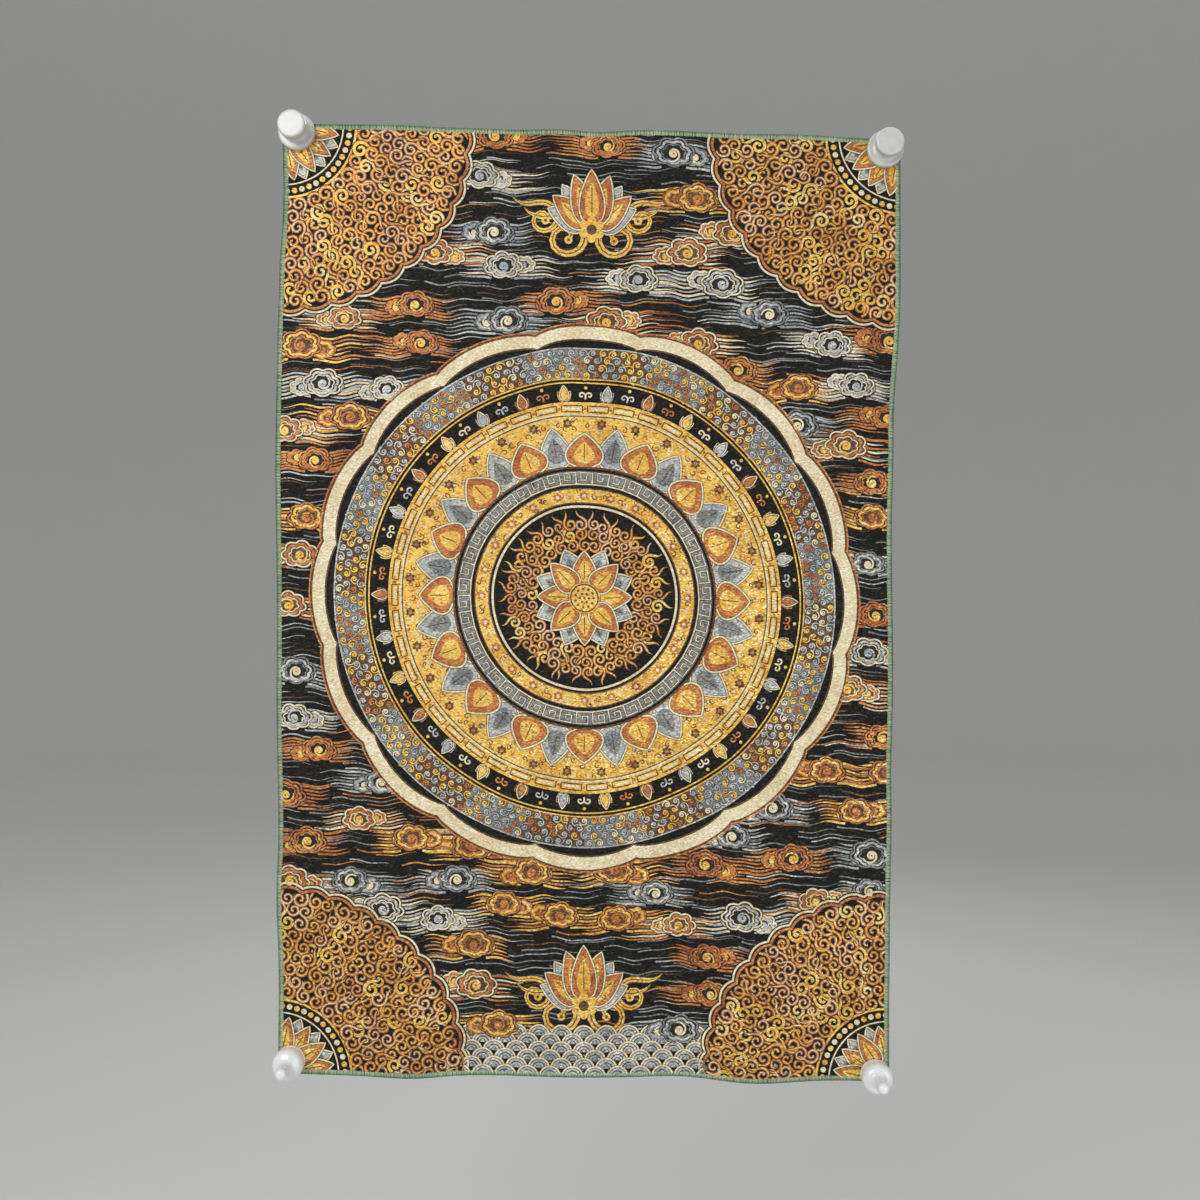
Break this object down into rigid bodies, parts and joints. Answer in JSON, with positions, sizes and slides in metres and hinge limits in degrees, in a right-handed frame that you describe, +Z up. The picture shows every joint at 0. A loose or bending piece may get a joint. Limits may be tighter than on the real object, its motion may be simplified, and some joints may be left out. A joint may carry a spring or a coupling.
{
  "type": "thangka brocade panel with wall pins",
  "caption": "Portrait brocade panel with an overlocked edge, hung flat on a wall by a white pin at each corner, with soft ripples along its sides.",
  "frame": {"origin": "on the wall plane, at the middle of the panel's top edge", "axes": "+X to the viewer's right along the top edge, +Y into the wall, +Z up"},
  "size_m": [0.6129, 0.0436, 0.9519],
  "materials": {
    "brocade": "figured brocade with black ground and metallic gold, copper and silver threads",
    "edging": "sage green overlock thread",
    "pin": "glossy white moulded plastic"
  },
  "bodies": {
    "root": {"cloth_panel": "brocade", "overlock_left": "edging", "overlock_right": "edging", "overlock_top": "edging", "overlock_bottom": "edging", "pin_top_left": "pin", "pin_top_right": "pin", "pin_bottom_left": "pin", "pin_bottom_right": "pin"}
  },
  "joints": []
}
